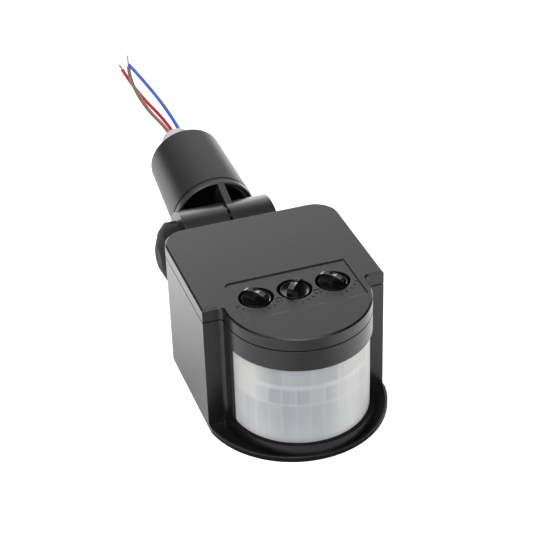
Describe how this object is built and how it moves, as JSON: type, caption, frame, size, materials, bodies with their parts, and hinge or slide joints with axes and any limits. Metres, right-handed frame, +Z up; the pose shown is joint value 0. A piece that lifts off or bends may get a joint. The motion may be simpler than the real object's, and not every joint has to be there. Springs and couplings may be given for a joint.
{
  "type": "motion sensor switch",
  "caption": "Black box-shaped infrared motion sensor head with a half-round lens, three setting knobs, and a lockable tilting arm ending in a sleeve with wire leads.",
  "frame": {"origin": "on the underside of the head, midway across it, in the plane of its two front shoulders", "axes": "+X across the head to the right as seen from the lens side, +Y from the lens back along the arm, +Z up through the knobs"},
  "size_m": [0.062, 0.2251, 0.0494],
  "materials": {
    "black_plastic": "fine satin texture",
    "knob": "satin",
    "gasket": "matt",
    "lens": "milky, half clear",
    "screw_steel": "zinc plated",
    "brass_insert": "turned",
    "trimmer": "moulded",
    "board": "lacquered laminate",
    "black_part": "moulded",
    "sensor_steel": "pressed sheet",
    "sensor_glass": "dark filter",
    "light_sensor": "clear resin",
    "relay_case": "moulded",
    "film_case": "cast box",
    "can_sleeve": "shrunk sleeve",
    "surge_coating": "dipped lacquer",
    "collar": "light grey, satin",
    "blue_wire": "insulation",
    "brown_wire": "insulation",
    "red_wire": "insulation"
  },
  "bodies": {
    "head": {"housing": "black_plastic", "top_cover": "black_plastic", "cover_gasket": "gasket", "lens": "lens", "front_left_screw": "screw_steel", "front_right_screw": "screw_steel", "rear_left_screw": "screw_steel", "rear_right_screw": "screw_steel", "left_trimmer": "trimmer", "middle_trimmer": "trimmer", "right_trimmer": "trimmer", "control_board": "board", "board_header": "black_part", "main_board": "board", "sensor_can": "sensor_steel", "sensor_window": "sensor_glass", "sensor_pin_left": "sensor_steel", "sensor_pin_right": "sensor_steel", "sensor_pin_lower": "sensor_steel", "light_sensor": "light_sensor", "relay": "relay_case", "film_capacitor": "film_case", "smoothing_capacitor": "can_sleeve", "driver_chip": "black_part", "surge_disc": "surge_coating", "rear_bracket": "black_plastic", "bracket_screw_upper": "screw_steel", "bracket_screw_lower": "screw_steel"},
    "left_knob": {"left_knob": "knob"},
    "middle_knob": {"middle_knob": "knob"},
    "right_knob": {"right_knob": "knob"},
    "arm": {"arm_fork": "black_plastic", "hinge_bolt": "screw_steel", "hinge_washer": "screw_steel"},
    "lock": {"lock_knob": "black_plastic", "knob_insert": "brass_insert"},
    "sleeve": {"arm_sleeve": "black_plastic", "wire_collar": "collar", "blue_wire": "blue_wire", "brown_wire": "brown_wire", "red_wire": "red_wire"}
  },
  "joints": [
    {"name": "left_knob_turn", "type": "hinge", "parent": "head", "child": "left_knob", "pos_m": [-0.0124, 0.0015, 0.0465], "axis": [0, 0, 1], "range_deg": [-178, 92]},
    {"name": "middle_knob_turn", "type": "hinge", "parent": "head", "child": "middle_knob", "pos_m": [0.0007, 0.0015, 0.0465], "axis": [0, 0, 1], "range_deg": [-103, 167]},
    {"name": "right_knob_turn", "type": "hinge", "parent": "head", "child": "right_knob", "pos_m": [0.0138, 0.0015, 0.0465], "axis": [0, 0, 1], "range_deg": [-182, 88]},
    {"name": "arm_tilt", "type": "hinge", "parent": "head", "child": "arm", "pos_m": [0, 0.0711, 0.0235], "axis": [1, 0, 0], "range_deg": [-52.5, 82.5]},
    {"name": "lock_turn", "type": "hinge", "parent": "arm", "child": "lock", "pos_m": [-0.018, 0.0711, 0.0235], "axis": [1, 0, 0], "range_deg": [-180, 180]},
    {"name": "sleeve_turn", "type": "hinge", "parent": "arm", "child": "sleeve", "pos_m": [0, 0.08901, 0.02687], "axis": [0, 0.9914, 0.1305], "range_deg": [-170, 170]}
  ]
}
